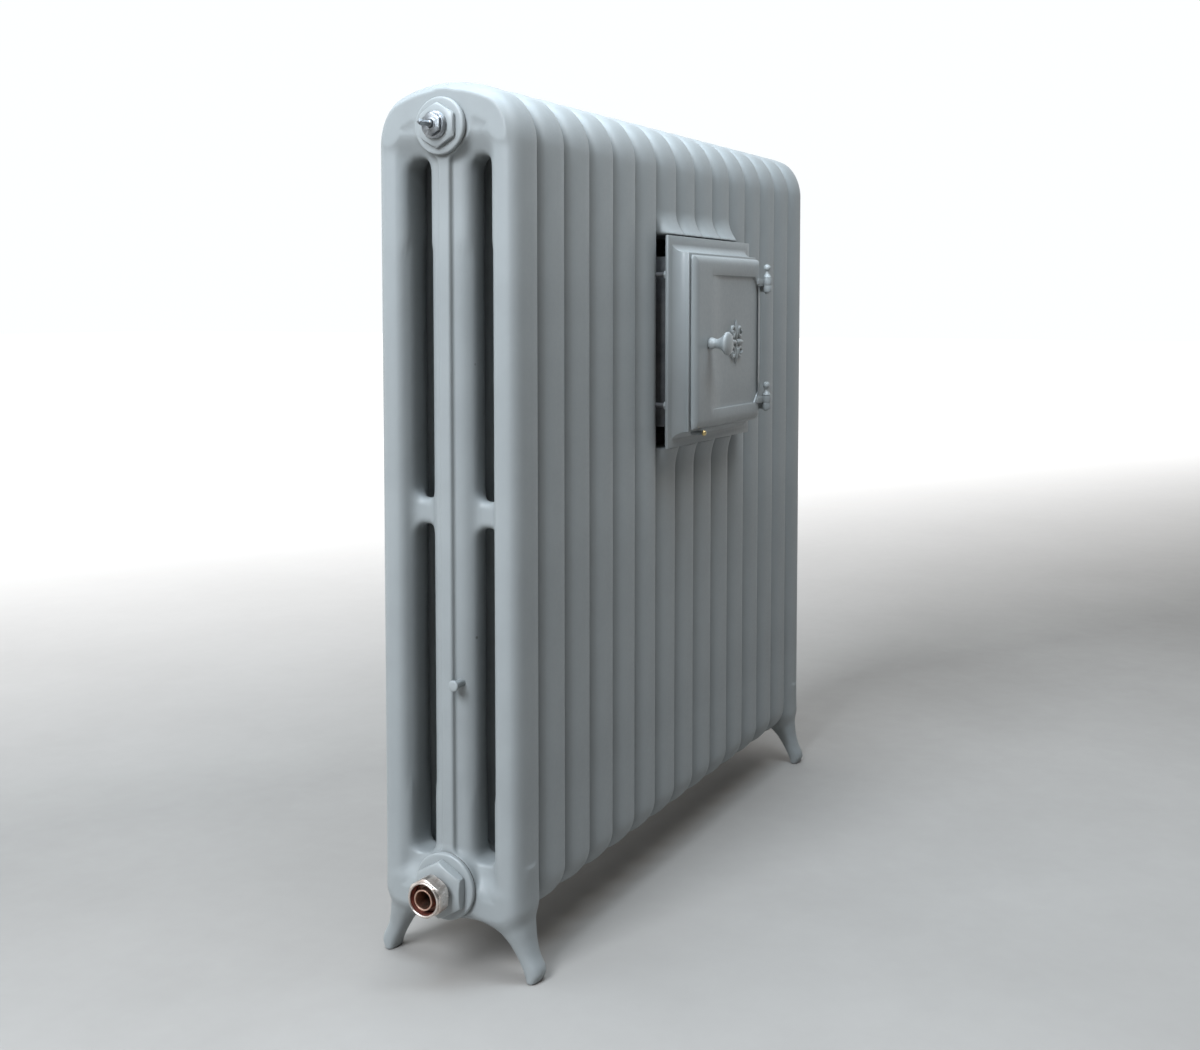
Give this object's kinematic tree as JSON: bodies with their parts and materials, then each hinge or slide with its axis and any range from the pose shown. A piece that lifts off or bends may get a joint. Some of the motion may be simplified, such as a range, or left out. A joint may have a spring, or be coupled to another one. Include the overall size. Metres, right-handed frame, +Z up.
{
  "type": "column radiator with warming cupboard",
  "caption": "Cast-iron three-column radiator on flared feet, with air vent, union tail and a hinged warming-cupboard door set into its front.",
  "frame": {"origin": "on the floor, in the middle of the overall outline, with the fittings, toes and knob counted", "axes": "+Z up; -Y is the front, where the cupboard door is; -X is the end with the air vent and the union tail"},
  "size_m": [0.9654, 0.2694, 0.972],
  "materials": {
    "iron_paint": "satin blue-grey enamel over cast iron, slightly uneven as cast",
    "fitting_paint": "the same satin blue-grey enamel, thick in the corners of the hexagons",
    "casing_paint": "satin blue-grey enamel on fine cast iron",
    "vent_metal": "brass stem with worn grey paint",
    "worn_nickel": "worn nickel over brass, copper colour showing at the edges",
    "copper_tail": "dull reddish copper alloy",
    "bright_brass": "polished brass",
    "plain_steel": "plain turned steel",
    "sheet_iron": "dark stove-blacked sheet iron",
    "fibre": "dark pressed fibre"
  },
  "bodies": {
    "radiator": {"section_01": "iron_paint", "section_02": "iron_paint", "section_03": "iron_paint", "section_04": "iron_paint", "section_05": "iron_paint", "section_06": "iron_paint", "section_07": "iron_paint", "section_08": "iron_paint", "section_09": "iron_paint", "section_10": "iron_paint", "section_11": "iron_paint", "section_12": "iron_paint", "section_13": "iron_paint", "section_14": "iron_paint", "section_15": "iron_paint", "nipples_upper": "plain_steel", "nipples_lower": "plain_steel", "vent_bush": "fitting_paint", "vent_gasket": "fibre", "vent_body": "fitting_paint", "inlet_bush": "fitting_paint", "inlet_gasket": "fibre", "inlet_tail": "copper_tail", "far_upper_plug": "fitting_paint", "far_lower_plug": "fitting_paint", "far_gaskets": "fibre", "boss_plug": "fitting_paint", "casing_frame": "casing_paint", "oven_liner": "sheet_iron", "casing_screws": "fitting_paint", "door_rest_stud": "bright_brass", "hinge_pin_upper": "casing_paint", "hinge_pin_lower": "casing_paint"},
    "door": {"door": "casing_paint", "door_ornament": "casing_paint"},
    "latch": {"knob": "casing_paint", "latch_spindle": "plain_steel", "latch_bar": "plain_steel", "latch_nut": "plain_steel"},
    "vent_stem": {"vent_spindle": "vent_metal"},
    "loose_nut": {"union_nut": "worn_nickel"}
  },
  "joints": [
    {"name": "door_hinge", "type": "hinge", "parent": "radiator", "child": "door", "pos_m": [0.16675, -0.10935, 0.687], "axis": [0, 0, 1], "range_deg": [0, 170]},
    {"name": "knob_turn", "type": "hinge", "parent": "door", "child": "latch", "pos_m": [-0.02875, -0.10535, 0.685], "axis": [0, -1, 0], "range_deg": [0, 90]},
    {"name": "vent_spindle_turn", "type": "hinge", "parent": "radiator", "child": "vent_stem", "pos_m": [-0.46475, 0.03065, 0.923], "axis": [-1, 0, 0], "range_deg": [0, 360]},
    {"name": "union_nut_spin", "type": "hinge", "parent": "radiator", "child": "loose_nut", "pos_m": [-0.47175, 0.03065, 0.1], "axis": [-1, 0, 0], "continuous": true}
  ]
}
